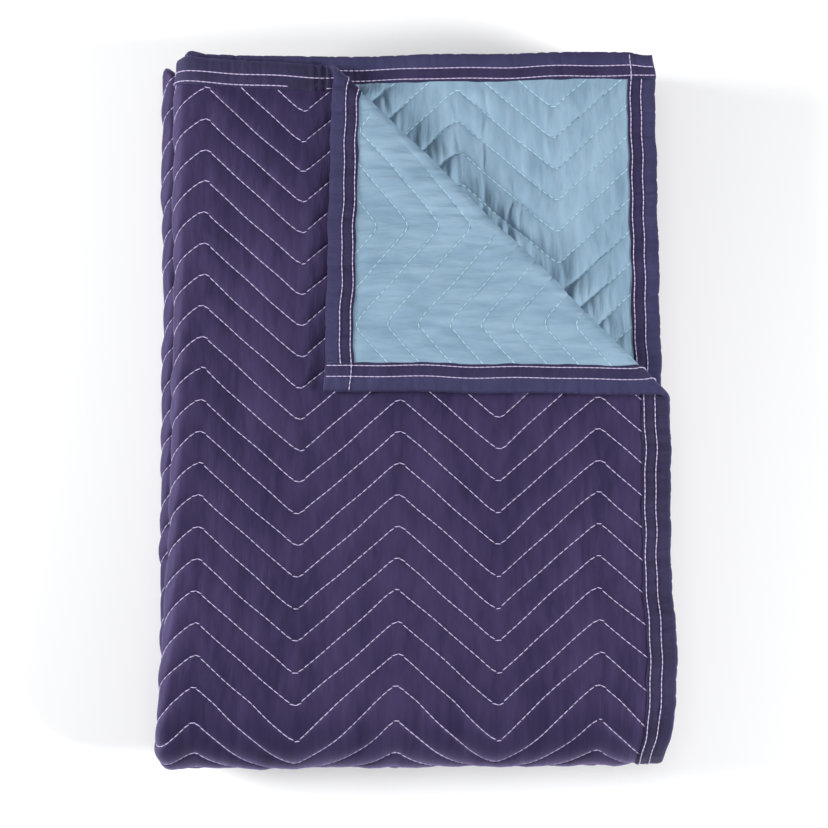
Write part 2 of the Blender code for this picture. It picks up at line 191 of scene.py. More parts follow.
def fold_in_thirds(u, h, along, face_share):
    left, right, face_edge, back_edge = [read_curve(c, along) for c in SIDE_CURVES]
    bound = face_edge * face_share + back_edge * (1 - face_share) - BAND_OUT
    left_angle = np.clip((u - LEFT_BEND[0]) / PITCH, 0, math.pi)
    right_angle = np.clip((u - RIGHT_BEND[0]) / PITCH, 0, math.pi)
    first_run = np.minimum(u, LEFT_BEND[0]) / LEFT_BEND[0]
    second_run = np.clip((u - LEFT_BEND[1]) / (RIGHT_BEND[0] - LEFT_BEND[1]), 0, 1)
    x = bound + (left - bound) * first_run + (right - left) * second_run
    x += (PITCH - h) * np.sin(right_angle) - (PITCH + h) * np.sin(left_angle)
    x -= np.maximum(0, u - RIGHT_BEND[1])
    upper = PITCH + (PITCH + h) * np.cos(left_angle)
    lower = (PITCH - h) * np.cos(right_angle) - PITCH
    return x, np.where(u < LEFT_BEND[1], upper, lower)


def fold_again(along, g, near_end, far_end, front):
    radius = 3 * PITCH + g
    angle = np.clip((along - FRONT_BEND[0]) / FRONT_LENGTH, 0, 1) * math.pi
    near_run = np.minimum(along, FRONT_BEND[0]) / FRONT_BEND[0]
    far_run = np.maximum(0, along - FRONT_BEND[1]) / (LENGTH / 2 - FRONT_BEND[1])
    y = near_end + (front - near_end) * near_run
    y += (far_end - front) * far_run - FRONT_STRETCH * radius * np.sin(angle)
    return y, PILE_MIDDLE + radius * np.cos(angle)


# %% How unevenly the pile lies
# Pushes are places on the pile's outline, from its middle, where it bulges or is drawn in: x, y,
# how wide, and the move in x and y, in millimetres.
PUSHES = (
    (-171, -193, 7, 2.2, 0.0),
    (-173, -212, 14, -1.0, 0.0),
    (166, -228, 16, -4.5, 1.5),
    (166, -150, 22, 1.2, 0.0),
    (166, -95, 10, -0.8, 0.0),
    (-171, 60, 30, 0.8, 0.0),
    (-160, 234, 12, 2.0, -2.0),
    (-169, 228, 5, 0.0, 7.5),
    (-146, 233, 5, 0.0, 2.8),
    (156, 232, 7, -1.5, -3.0),
)

# Rises lift all layers in waves: a share of the height, lengths along x and y, and a phase.
RISES = (
    (0.011, 0.23, 0.31, 1.0),
    (0.009, 0.14, -0.19, 2.2),
    (0.006, 0.31, -0.09, 0.4),
)

# Sways move layers sideways: the axis, how far, the length along the other axis, turns from the
# floor to the top, and a phase.
SWAYS = (
    (0, 0.35 * MM, 0.061, 0.7, 0.5),
    (0, 0.25 * MM, 0.027, 1.3, 0.0),
    (1, 0.35 * MM, 0.083, 0.9, 1.7),
)


def settled(places):
    """Small bends that all layers share, and pushes at the outline."""
    x, y, z = places.T
    height = z / PILE_TOP
    moved = places.copy()
    for share, along_x, along_y, phase in RISES:
        moved[:, 2] += z * share * np.sin(2 * math.pi * (x / along_x + y / along_y) + phase)
    for axis, far, length, climb, phase in SWAYS:
        other = (y, x)[axis]
        moved[:, axis] += far * np.sin(2 * math.pi * (other / length + climb * height) + phase)
    for px, py, wide, dx, dy in PUSHES:
        near = np.exp(-((x / MM - px) ** 2 + (y / MM - py) ** 2) / (2 * wide**2))
        moved[:, 0] += dx * MM * near
        moved[:, 1] += dy * MM * near
    return moved


# %% All folds in turn
# Between these places along v, the bound sides pass from the face's edge to the back's.
EDGES_CHANGE = (0.375 * LENGTH, 0.625 * LENGTH)


def folded(flat):
    """Where points of the flat blanket, as rows of (u, v, w), lie in the pile."""
    u, v, w = turn_back_corner(np.asarray(flat, float)).T
    along, h = fold_in_half(v, w)
    face_share = np.clip((EDGES_CHANGE[1] - v) / (EDGES_CHANGE[1] - EDGES_CHANGE[0]), 0, 1)
    x, g = fold_in_thirds(u, h, along, face_share)
    face_end, back_end, doubled_end, front = [read_curve(c, u) for c in END_CURVES]
    near_end = np.where(v < LENGTH / 2, face_end, back_end) - BAND_OUT
    y, z = fold_again(along, g, near_end, doubled_end, front)
    return settled(np.stack([x + PLACE_X, y + PLACE_Y, z], axis=1))


corner = folded([[0, 0, 0]])[0]
print("the turned corner's tip lies at", [round(float(c) / MM, 1) for c in corner], "mm")

# %% [markdown]
# ## The quilting
#
# On the real blanket the chevrons are sewn on a wide machine, so each row is the same zigzag
# moved along. After each turn the stitching swings into its new direction over a few
# millimetres, and always on the same side. `zigzag` holds that shape, and both the hollows in
# the cloth and the thread follow it.

# %% The zigzag


def smooth_step(low, high, at):
    t = np.clip((at - low) / (high - low), 0, 1)
    return t * t * (3 - 2 * t)


def bell(at, width):
    """A bump of height 1 at 0, almost gone at twice its width."""
    return np.exp(-((at / width) ** 2))


def row_curve():
    """The v of each distance along the outside of the pile, where the front fold is longer."""
    outside = math.pi * 5.5 * PITCH * (1 + FRONT_STRETCH) / 2
    stops = [0, FRONT_BEND[0], FRONT_BEND[1], LENGTH - FRONT_BEND[1], LENGTH - FRONT_BEND[0]]
    spans = [stops[1], outside, stops[3] - stops[2], outside, LENGTH - stops[4]]
    starts = np.concatenate([[0], np.cumsum(spans)])
    spare = 0.2
    distances = np.concatenate([[-spare], starts, [starts[-1] + spare]])
    places = np.concatenate([[-spare], stops, [LENGTH, LENGTH + spare]])
    return distances, places


ROW_DISTANCES, ROW_PLACES = row_curve()
print(round(ROW_DISTANCES[-2] / ROW_PITCH), "rows of chevrons")

# Over the left fold, the outer layer takes almost twice the cloth of the pair's middle.
OUTER_SHARE = (1.5 * PITCH + PUFF_HALF) / PITCH
BEND_MORE = (OUTER_SHARE - 1) * (LEFT_BEND[1] - LEFT_BEND[0])
PAST_SIDES = 0.3  # how far past both sides the zigzags are worked out
ACROSS_PLACES = np.array([-PAST_SIDES, *LEFT_BEND, WIDTH + PAST_SIDES])
ACROSS_DISTANCES = ACROSS_PLACES + np.array([0, 0, BEND_MORE, BEND_MORE])


def row_place(distance):
    return np.interp(distance, ROW_DISTANCES, ROW_PLACES)


def row_distance(v):
    return np.interp(v, ROW_PLACES, ROW_DISTANCES)


PULL_STARTS = 0.25
PULL_FADES = (0.52, 0.7)


def fold_pull(v):
    """How much the left fold stands out towards the front, which the quilting doesn't follow."""
    resting = read_curve(SIDE_CURVES[0], PULL_STARTS)
    moved = resting - read_curve(SIDE_CURVES[0], np.clip(v, PULL_STARTS, PULL_FADES[1]))
    return np.maximum(0, moved) * (1 - smooth_step(*PULL_FADES, v))


def wave_place(u, distance):
    """The place along the zigzags of a u, at a distance along the rows."""
    pull = fold_pull(row_place(distance)) / LEFT_BEND[0]
    across = np.interp(u, ACROSS_PLACES, ACROSS_DISTANCES)
    return across - WAVE_DRIFT * distance + pull * np.minimum(u, LEFT_BEND[0])


def place_across(wave, distance):
    """The u of a place along the zigzags."""
    pull = fold_pull(row_place(distance)) / LEFT_BEND[0]
    moved = wave + WAVE_DRIFT * distance
    inside = moved < LEFT_BEND[0] * (1 + pull)
    across = np.where(inside, moved / (1 + pull), moved - pull * LEFT_BEND[0])
    return np.interp(across, ACROSS_DISTANCES, ACROSS_PLACES)


TURN_WAVES = np.arange(WAVE_START - 2 * HALF_WAVE, WIDTH + HALF_WAVE, HALF_WAVE)
ROUNDING = 1e-7  # this share of a half wave before a turn, a place counts as past it


def zigzag(wave):
    """How far a row of stitches lies beyond its crests."""
    turns = (wave - WAVE_START) / HALF_WAVE
    index = np.floor(turns + ROUNDING)
    past = (turns - index) * HALF_WAVE
    rounded = TURN_SLOPE * past + (1 - TURN_SLOPE) * past**2 / (2 * TURN_LENGTH)
    lost = TURN_LENGTH * (1 - TURN_SLOPE) / 2
    flank = np.where(past < TURN_LENGTH, rounded, past - lost) / (HALF_WAVE - lost)
    return WAVE_RISE * np.where(index % 2 == 0, flank, 1 - flank)


# %% [markdown]
# ## The swell of the cloth
#
# Between two rows of stitches the filling lifts the cloth into a soft ridge. The thread pulls
# it down to a sharp hollow and gathers it, so short pleats run across each ridge, along the
# blanket. A folded sine has the sharp troughs of such pleats. Each row of quilting gets its own
# small shift, drawn once from a fixed seed, so that the pleats break at the stitches.

# %% The pleats
RANDOM = np.random.default_rng(41)
ROW_SHIFTS = RANDOM.uniform(-2.2 * MM, 2.2 * MM, 140)
ROWS_BEFORE = 10  # shifts kept for rows that start before the cloth does
FACE_PLEATS = ((10.3 * MM, 0.4), (16.9 * MM, 1.9), (31 * MM, 4.1))
BACK_PLEATS = ((6.3 * MM, 0.0), (9.1 * MM, 1.9), (16.7 * MM, 4.1))
FACE_PLEAT = 0.65 * MM
BACK_PLEAT = 1.10 * MM
PLEAT_SHARPNESS = 0.8
PLEAT_WANDERS = ((1.6 * MM, 0.13), (0.9 * MM, 0.047))  # how far, and over what length
PLEAT_PATCH = (0.071, 0.12)  # the lengths along u and v over which pleats grow and fade
PLEAT_FADE = 0.4


def pleats(u, v, index, waves):
    """Pleats of these (length, phase) waves, from 0 in a trough to 1 on a crown."""
    wander = sum(far * np.sin(2 * math.pi * v / length) for far, length in PLEAT_WANDERS)
    shift = ROW_SHIFTS[np.clip(index.astype(int) + ROWS_BEFORE, 0, len(ROW_SHIFTS) - 1)]
    patch = 2 * math.pi * (u / PLEAT_PATCH[0] + v / PLEAT_PATCH[1])
    total = np.zeros_like(u)
    for length, phase in waves:
        strength = 1 - PLEAT_FADE + PLEAT_FADE * np.sin(patch + 3 * phase)
        fold = np.abs(np.sin(math.pi * (u + wander + shift) / length + phase))
        total += strength * fold**PLEAT_SHARPNESS
    return total / len(waves)


# %% Creases beside the turned corner
# One long crease and some shorter ones in the back cloth: u, and v from the end, where it starts
# and stops, and its depth in millimetres.
BACK_CREASES = (
    (0.1130, 0.052, 0.1180, 0.9),
    (0.1035, 0.078, 0.1220, 0.5),
    (0.0890, 0.086, 0.1370, 0.6),
    (0.0810, 0.092, 0.1440, 0.5),
    (0.1330, 0.050, 0.0890, 0.5),
    (0.0620, 0.110, 0.1590, 0.5),
)
TROUGH_WIDTH = 1.1 * MM
RIM_WIDTH = 1.8 * MM
RIM_AWAY = 3 * MM
RIM_SHARE = 0.4


def crease_troughs(u, v):
    """The creases' depths, in metres. The cloth rises in a low rim at one side of each."""
    from_end = LENGTH - v
    depth = np.zeros_like(u)
    for at, low, high, deep in BACK_CREASES:
        shape = bell(u - at, TROUGH_WIDTH) - RIM_SHARE * bell(u - at - RIM_AWAY, RIM_WIDTH)
        starts = smooth_step(low, low + 10 * MM, from_end)
        stops = 1 - smooth_step(high - 8 * MM, high, from_end)
        depth += deep * MM * shape * starts * stops
    return depth


# %% Height of the cloth over its middle plane
RIDGE_SHARPNESS = 0.5  # below 1, ridges are full and the hollows between them sharp
CREASE_REACH = 30 * MM  # how far the turned corner's crease changes the cloth beside it
DEEPER_PLEATS = 0.6
TURNED_FLATTER = 0.25
UNDER_FULLER = 1.2
UNDER_REACH = 28 * MM
ROLL_SMOOTHER = 0.65
ROLL_HEIGHT = PUFF_HALF - SEAM_HALF - 0.2 * MM
RISES_FROM_TAPE = (17 * MM, 25 * MM)  # distances from the raw edge


def past_crease(u, v):
    """How far a place lies past the line where the corner turns back."""
    first, inward = crease_line()
    return (first[0] - u) * inward[0] + (first[1] - v) * inward[1]


def roll_share(past):
    """How much the back's hollows are smoothed on the roll of the turned corner."""
    rolled = math.pi * CREASE_RADIUS
    rises = smooth_step(-3 * MM, 2 * MM, past)
    falls = smooth_step(rolled - 2 * MM, rolled + 9 * MM, past)
    return ROLL_SMOOTHER * rises * (1 - falls)


def swell(u, v, side):
    """The cloth's height at flat places: low at stitches and under the binding."""
    distance = row_distance(v)
    rows = (distance - zigzag(wave_place(u, distance)) - ROW_START) / ROW_PITCH
    index = np.floor(rows)
    ridge = np.sin(math.pi * (rows - index)) ** RIDGE_SHARPNESS
    past = past_crease(u, np.minimum(v, LENGTH - v))
    on_top = v < LENGTH / 2
    by_crease = np.exp(-np.abs(past) / CREASE_REACH)
    pleat = FACE_PLEAT if side > 0 else BACK_PLEAT * (1 + DEEPER_PLEATS * by_crease)
    crown = 2 * pleats(u, v, index, FACE_PLEATS if side > 0 else BACK_PLEATS) - 1
    height = ridge * (PUFF_HALF - SEAM_HALF + pleat * crown)
    height *= 1 - TURNED_FLATTER * smooth_step(0, CREASE_REACH, past) * on_top
    if side < 0:
        height -= crease_troughs(u, v) * ridge
        beside = smooth_step(-1 * MM, 6 * MM, past) * ~on_top
        height *= 1 + UNDER_FULLER * beside * np.exp(-np.maximum(0, past) / UNDER_REACH)
        height += roll_share(past) * on_top * (ROLL_HEIGHT - height)
    inner = smooth_step(*RISES_FROM_TAPE, np.minimum.reduce([u, v, WIDTH - u, LENGTH - v]))
    return SEAM_HALF + (BOUND_HALF - SEAM_HALF) * (1 - inner) + height * inner


# %% [markdown]
# ## The two plies
#
# A grid whose lines run along the zigzags keeps each hollow crisp with few faces. Lines crowd
# near the stitches, and are dense only where the cloth shows. `bisect_plane` trims the grid at
# the blanket's ends and adds the cuts that small bends need.

# %% A flat grid along the zigzags
FINE_LINES = (0, 0.035, 0.10, 0.22, 0.40, 0.60, 0.78, 0.90, 0.965)
PLAIN_LINES = (0, 0.5)


def row_lines(is_fine):
    """Distances along the rows of the grid's lines, dense in the rows that is_fine picks."""
    lines = []
    spare = math.ceil(WAVE_RISE / ROW_PITCH) + 2
    for row in range(-spare - 2, round(ROW_DISTANCES[-1] / ROW_PITCH) + 2):
        start = ROW_START + row * ROW_PITCH
        shares = FINE_LINES if is_fine(row_place(start)) else PLAIN_LINES
        lines += [start + share * ROW_PITCH for share in shares]
    return np.array(lines)


def columns(stops):
    """Places along the zigzags between (place, spacing) stops, with one at each turn."""
    parts = []
    for (low, spacing), (high, _) in zip(stops, stops[1:]):
        turns = TURN_WAVES[(TURN_WAVES > low + spacing) & (TURN_WAVES < high - spacing)]
        marks = [low, *turns, high]
        for a, b in zip(marks, marks[1:]):
            parts.append(np.linspace(a, b, max(1, round((b - a) / spacing)), endpoint=False))
    return np.concatenate(parts + [[stops[-1][0]]])


def cut(bm, point, normal, faces, **clear):
    """Cuts these faces with a plane, and clears a side of it if asked."""
    edges = {e for f in faces for e in f.edges}
    verts = {v for f in faces for v in f.verts}
    geom = [*faces, *edges, *verts]
    bmesh.ops.bisect_plane(bm, geom=geom, dist=1e-6, plane_co=point, plane_no=normal, **clear)


def faces_across(bm, point, normal, near=None):
    """The faces that a plane crosses, among those that near() picks."""
    point, normal = Vector(point), Vector(normal)
    found = []
    for face in bm.faces:
        sides = [(v.co - point).dot(normal) for v in face.verts]
        if min(sides) < 0 < max(sides) and (near is None or near(face.calc_center_median())):
            found.append(face)
    return found


def flat_grid(waves, lines):
    """A bmesh of the whole blanket's outline, with its lines along the zigzags."""
    distance = lines[:, None] + zigzag(waves)[None, :]
    us, vs = place_across(waves[None, :], distance), row_place(distance)
    points = np.stack([us, vs, np.zeros_like(vs)], axis=2)
    count = len(waves)
    kept = []
    for i in range(len(lines) - 1):
        low, high = vs[i], vs[i + 1]
        inside = (np.maximum(high[:-1], high[1:]) > 0) & (np.minimum(low[:-1], low[1:]) < LENGTH)
        inside &= (us[i, 1:] > 0) & (us[i, :-1] < WIDTH)
        for j in np.nonzero(inside)[0]:
            a = i * count + int(j)
            kept.append((a, a + 1, a + 1 + count, a + count))
    mesh = bpy.data.meshes.new("flat_grid")
    mesh.from_pydata(points.reshape(-1, 3).tolist(), [], kept)
    bm = bmesh.new()
    bm.from_mesh(mesh)
    bpy.data.meshes.remove(mesh)
    bmesh.ops.delete(bm, geom=[v for v in bm.verts if not v.link_faces], context="VERTS")
    for axis, size in ((Vector((1, 0, 0)), WIDTH), (Vector((0, 1, 0)), LENGTH)):
        cut(bm, Vector((0, 0, 0)), axis, list(bm.faces), clear_inner=True)
        cut(bm, axis * size, axis, list(bm.faces), clear_outer=True)
    return bm


CORNER_REACH = 0.3


def add_bend_cuts(bm, crease_steps, halfway_steps):
    """Extra cuts where the corner turns back and where the cloth folds in half."""
    first, inward = crease_line()
    normal = Vector((inward[0], inward[1], 0))
    for i in range(crease_steps + 1):
        at = first - inward * math.pi * CREASE_RADIUS * i / crease_steps
        point = Vector((at[0], at[1], 0))
        near = faces_across(bm, point, normal, lambda c: c.x < LEFT_BEND[0] and c.y < CORNER_REACH)
        cut(bm, point, normal, near)
    for i in range(halfway_steps + 1):
        v = HALFWAY_BEND[0] + (HALFWAY_BEND[1] - HALFWAY_BEND[0]) * i / halfway_steps
        point = Vector((0, v, 0))
        cut(bm, point, Vector((0, 1, 0)), faces_across(bm, point, (0, 1, 0)))


# %% From a flat mesh to an object


def in_scene(name, mesh):
    """Puts a mesh in the scene as an object, and prints how large it is."""
    obj = bpy.data.objects.new(name, mesh)
    bpy.context.scene.collection.objects.link(obj)
    mesh.calc_loop_triangles()
    print(name, len(mesh.loop_triangles), "triangles")
    return obj


def new_object(name, points, faces, flat_uv, material, map_name="flat"):
    """A smooth-shaded object whose UV map holds flat coordinates, in metres."""
    mesh = bpy.data.meshes.new(name)
    mesh.from_pydata(points.tolist(), [], faces)
    layer = mesh.uv_layers.new(name=map_name)
    corners = np.empty(len(mesh.loops), np.int32)
    mesh.loops.foreach_get("vertex_index", corners)
    layer.uv.foreach_set("vector", flat_uv[corners].astype(np.float32).reshape(-1))
    mesh.polygons.foreach_set("use_smooth", np.ones(len(mesh.polygons), bool))
    mesh.materials.append(material)
    mesh.update()
    return in_scene(name, mesh)


def ply_object(name, bm, side, material):
    """Lifts the flat grid by the cloth's swell on its side, folds it and makes the object."""
    bm.verts.index_update()
    flat = np.array([v.co[:] for v in bm.verts])
    faces = [[v.index for v in f.verts][::side] for f in bm.faces]
    bm.free()
    flat[:, 2] = side * swell(flat[:, 0], flat[:, 1], side)
    return new_object(name, folded(flat), faces, flat[:, :2], material)


# %% [markdown]
# ## Finishes
#
# The plies are a tightly woven satin, so a fine weave, a faint sheen and long, soft shifts of
# tone matter more than colour noise. The tone shifts follow the same noise that raises the bumped
# creases and crinkles, so besides random tone they paint shade into the troughs and light on the
# crowns. Every pattern reads the flat UV map, in metres, so it runs with the cloth round each
# fold.
# The weave and the tone shifts are node groups, built once, and each material sets its own colours
# and depths for them.

# %% Helpers for node trees


def new_group(name, inputs, outputs):
    """A shader group that takes a Place and these numbers, and puts out numbers."""
    group = bpy.data.node_groups.new(name, "ShaderNodeTree")
    group.interface.new_socket("Place", in_out="INPUT", socket_type="NodeSocketVector")
    for label, value in inputs.items():
        socket = group.interface.new_socket(label, in_out="INPUT", socket_type="NodeSocketFloat")
        socket.default_value = value
    for label in outputs:
        group.interface.new_socket(label, in_out="OUTPUT", socket_type="NodeSocketFloat")
    return group, group.nodes.new("NodeGroupInput"), group.nodes.new("NodeGroupOutput")


def node(tree, kind, values=None, **settings):
    made = tree.nodes.new(kind)
    for key, value in settings.items():
        setattr(made, key, value)
    for key, value in (values or {}).items():
        made.inputs[key].default_value = value
    return made


def maths(tree, operation, first, second=None):
    made = node(tree, "ShaderNodeMath", operation=operation)
    for socket, value in zip(made.inputs, (first, second)):
        if isinstance(value, (int, float)):
            socket.default_value = value
        elif value is not None:
            tree.links.new(value, socket)
    return made.outputs[0]


# %% The weave group


def weave_group():
    """Thread heights of a plain weave. Threads is how far its wave turns in 1 m, in radians."""
    group, given, result = new_group("woven_thread", {"Threads": 11000.0}, ["Height"])
    split = node(group, "ShaderNodeSeparateXYZ")
    group.links.new(given.outputs["Place"], split.inputs[0])
    waves = []
    for axis in ("X", "Y"):
        turns = maths(group, "MULTIPLY", split.outputs[axis], given.outputs["Threads"])
        waves.append(maths(group, "SINE", turns))
    height = maths(group, "MULTIPLY", *waves)
    group.links.new(height, result.inputs["Height"])
    return group


# %% The tone group


def tone_group():
    """Soft shifts of tone, partly painted shade: streaks along the cloth, broad patches, and fine
    crinkles.
    """
    group, given, result = new_group(
        "cloth_tone_and_shade",
        {"Streaks": 55.0, "Patches": 9.0, "Crinkles": 190.0},
        ["Streak", "Patch", "Crinkle"],
    )
    drawn = node(group, "ShaderNodeMapping", {"Scale": (1.0, 0.22, 1.0)})
    group.links.new(given.outputs["Place"], drawn.inputs["Vector"])
    for label, scale, place, detail in (
        ("Streak", "Streaks", drawn.outputs[0], 4.0),
        ("Patch", "Patches", given.outputs["Place"], 2.0),
        ("Crinkle", "Crinkles", drawn.outputs[0], 2.0),
    ):
        noise = node(group, "ShaderNodeTexNoise", {"Detail": detail, "Roughness": 0.55})
        group.links.new(place, noise.inputs["Vector"])
        group.links.new(given.outputs[scale], noise.inputs["Scale"])
        group.links.new(noise.outputs[0], result.inputs[label])
    return group


WEAVE = weave_group()
TONE = tone_group()

# %% Colours


def linear(red, green, blue):
    """A screen colour, 0 to 255, as the linear colour that shaders take."""
    shares = [c / 255 for c in (red, green, blue)]
    return tuple(s / 12.92 if s <= 0.04045 else ((s + 0.055) / 1.055) ** 2.4 for s in shares)


# %% Cloth materials
FINISHES = {
    # finish: darkest and lightest colour on screen, which span random tone and painted shade,
    # roughness, sheen, and how many times as deep as the weave its crinkles are
    "face_navy": ((36, 30, 53), (56, 48, 78), 0.55, 0.35, 32.0),
    "back_sky": ((115, 142, 163), (143, 169, 189), 0.55, 0.1, 60.0),
    "pale_thread": ((186, 174, 208), (208, 197, 228), 0.6, 0.2, 0.0),
    "blue_thread": ((168, 202, 216), (188, 219, 230), 0.6, 0.2, 0.0),
    "binding_navy": ((28, 25, 42), (66, 62, 94), 0.68, 0.15, 24.0),
}
TONE_AND_SHADE_WEIGHTS = {"Streak": 0.4, "Patch": 0.25, "Crinkle": 0.35}
TONE_RANGE = (0.38, 0.62)
CREASE_DEPTH = 12.0  # how many times as deep as the weave the long creases are


def ramp(tree, share, stops):
    """A colour that passes through these (place, colour) stops as the share grows."""
    made = node(tree, "ShaderNodeValToRGB")
    elements = made.color_ramp.elements
    for element, (place, colour) in zip(elements, (stops[0], stops[-1])):
        element.position = place
        element.color = (*colour, 1)
    for place, colour in stops[1:-1]:
        elements.new(place).color = (*colour, 1)
    tree.links.new(share, made.inputs[0])
    return made.outputs[0]


def cloth_material(name, weave_depth=0.05 * MM, map_name="flat"):
    """A woven cloth between two tones, painted darker in the troughs of its creases and crinkles.
    """
    dark, light, roughness, sheen, crinkle = FINISHES[name]
    dark, light = linear(*dark), linear(*light)
    material = bpy.data.materials.new(name)
    material.use_nodes = True
    tree = material.node_tree
    shader = tree.nodes["Principled BSDF"]
    shader.inputs["Roughness"].default_value = roughness
    shader.inputs["Sheen Weight"].default_value = sheen
    shader.inputs["Sheen Roughness"].default_value = 0.4
    tint = (*[c / max(light) for c in light], 1)
    shader.inputs["Sheen Tint"].default_value = tint
    shader.inputs["Specular Tint"].default_value = tint
    shader.inputs["Specular IOR Level"].default_value = 0.4
    place = node(tree, "ShaderNodeUVMap", uv_map=map_name)
    tone = node(tree, "ShaderNodeGroup", node_tree=TONE)
    weave = node(tree, "ShaderNodeGroup", node_tree=WEAVE)
    for used in (tone, weave):
        tree.links.new(place.outputs[0], used.inputs["Place"])
    # The colour follows the same streaks and crinkles that raise the bumps: random tone, plus
    # painted shade in their troughs and painted light on their crowns.
    share = None
    for label, weight in TONE_AND_SHADE_WEIGHTS.items():
        part = maths(tree, "MULTIPLY", tone.outputs[label], weight)
        share = part if share is None else maths(tree, "ADD", share, part)
    colour = ramp(tree, share, list(zip(TONE_RANGE, (dark, light))))
    tree.links.new(colour, shader.inputs["Base Color"])
    bump = node(tree, "ShaderNodeBump", {"Strength": 0.55, "Distance": weave_depth})
    creases = maths(tree, "MULTIPLY", tone.outputs["Streak"], CREASE_DEPTH)
    crinkles = maths(tree, "MULTIPLY", tone.outputs["Crinkle"], crinkle)
    height = maths(tree, "ADD", weave.outputs["Height"], maths(tree, "ADD", creases, crinkles))
    tree.links.new(height, bump.inputs["Height"])
    tree.links.new(bump.outputs[0], shader.inputs["Normal"])
    material.diffuse_color = (*light, 1)
    return material


NAVY = cloth_material("face_navy")
SKY = cloth_material("back_sky")
THREAD = cloth_material("pale_thread")
BACK_THREAD = cloth_material("blue_thread")
print("finishes:", ", ".join(m.name for m in (NAVY, SKY, THREAD, BACK_THREAD)))

# %% [markdown]
# The tape's own map runs along the strip and across it, from one free edge (above zero) round
# the raw edge of the cloth to the other (below zero). On the face it is one even navy. On the
# back, the roll over the edge is painted a lighter blue as a painted highlight, and the channel
# between the two rows is painted darker as painted shade.

# %% The tape's material
TAPE_TONES_WITH_PAINTED_LIGHT = (
    # place across the tape in mm, and the screen colour there: painted highlight on the back's
    # roll, painted shade in its channel
    (-17.0, (40, 34, 56)),
    (-8.9, (43, 37, 60)),
    (-7.4, (58, 59, 90)),
    (-0.5, (56, 56, 86)),
    (1.5, (44, 41, 59)),
    (17.0, (47, 43, 62)),
)
WOVEN_SHARE = 0.4  # how much of the colour comes from the woven tones


def tape_material(name):
    """The tape's coarser cloth, tinted by the place across the tape, with painted highlight and
    shade.
    """
    material = cloth_material(name, 0.12 * MM, "tape")
    tree = material.node_tree
    shader = tree.nodes["Principled BSDF"]
    woven = shader.inputs["Base Color"].links[0].from_socket
    place = next(n for n in tree.nodes if n.bl_idname == "ShaderNodeUVMap")
    split = node(tree, "ShaderNodeSeparateXYZ")
    tree.links.new(place.outputs[0], split.inputs[0])
    low, high = TAPE_TONES_WITH_PAINTED_LIGHT[0][0] * MM, TAPE_TONES_WITH_PAINTED_LIGHT[-1][0] * MM
    share = node(tree, "ShaderNodeMapRange", {"From Min": low, "From Max": high})
    tree.links.new(split.outputs["Y"], share.inputs["Value"])
    stops = [((at * MM - low) / (high - low), linear(*colour)) for at, colour in TAPE_TONES_WITH_PAINTED_LIGHT]
    mix = node(tree, "ShaderNodeMix", {"Factor": WOVEN_SHARE}, data_type="RGBA")
    tree.links.new(ramp(tree, share.outputs["Result"], stops), mix.inputs["A"])
    tree.links.new(woven, mix.inputs["B"])
    tree.links.new(mix.outputs["Result"], shader.inputs["Base Color"])
    return material


TAPE = tape_material("binding_navy")

# %% [markdown]
# ## Making the plies
#
# Each ply is one whole sheet, but much of it lies inside the pile. So its grid is fine only where
# it shows, closer at the folds, and coarse elsewhere: the face shows over the blanket's first
# half, and the back at the turned corner and on the layer beside it.

# %% The face ply
FACE_STEP = 3.4 * MM
BACK_STEP = 1.55 * MM
FOLD_STEP = 2.2 * MM
HIDDEN_STEP = 14 * MM


def at_fold(bend):
    """Closer columns from before a fold to just after it, and coarse ones from there."""
    return (bend[0] - 26 * MM, FOLD_STEP), (bend[1] + 4 * MM, HIDDEN_STEP)


FACE_COLUMNS = (
    (-30 * MM, FACE_STEP),
    (LEFT_BEND[0] - 8 * MM, FOLD_STEP),
    (LEFT_BEND[1] + 6 * MM, HIDDEN_STEP),
    *at_fold(RIGHT_BEND),
    (WIDTH + 10 * MM, 0),
)
face_grid = flat_grid(columns(FACE_COLUMNS), row_lines(lambda v: v < LENGTH / 2 + 20 * MM))
add_bend_cuts(face_grid, 6, 8)
face_ply = ply_object("quilted_face", face_grid, 1, NAVY)

# %% The back ply
BACK_COLUMNS = (
    (-30 * MM, BACK_STEP),
    (0.232, HIDDEN_STEP),
    *at_fold(LEFT_BEND),
    *at_fold(RIGHT_BEND),
    (WIDTH + 10 * MM, 0),
)
back_lines = row_lines(lambda v: v < 0.23 or v > LENGTH - 0.27)
back_grid = flat_grid(columns(BACK_COLUMNS), back_lines)
add_bend_cuts(back_grid, 8, 6)
back_ply = ply_object("quilted_back", back_grid, -1, SKY)

# %% [markdown]
# ## The binding
#
# The tape is folded round the raw edge and sewn down with two rows of stitches. Its section is a
# narrow U: full between the rows, pulled in at them, and rounded where it turns over the edge.
# A bevelled curve would sweep that section too, but a loop that moves it along each side of the
# blanket can also add the gathers, and raise the tape at corners where two strips lap.

# %% The tape's section
# Each row is a depth in from the raw edge and a height, in millimetres, for the tape's upper
# half from its free edge to the turn. The lower half mirrors it.
SECTION = (
    (17.2, 1.25),
    (17.35, 1.75),
    (16.9, 2.1),
    (15.5, 1.8),
    (14.0, 2.15),
    (11.8, 2.35),
    (10.0, 2.15),
    (8.5, 1.8),
    (7.0, 2.15),
    (4.5, 2.35),
    (2.0, 2.35),
    (0.4, 2.1),
    (-0.7, 1.6),
    (-1.2, 0.9),
    (-1.3, 0.0),
)
INNER_SECTION = ((17.2, 1.2), (8.0, 1.2), (0.2, 1.2), (-0.2, 0.6), (-0.3, 0.0))
STITCH_DEPTHS = (15.5 * MM, 8.5 * MM)
STITCH_HEIGHT = 2.15 * MM
DOUBLED = 0.4 * MM  # how much higher the tape is at a corner, where two strips lap


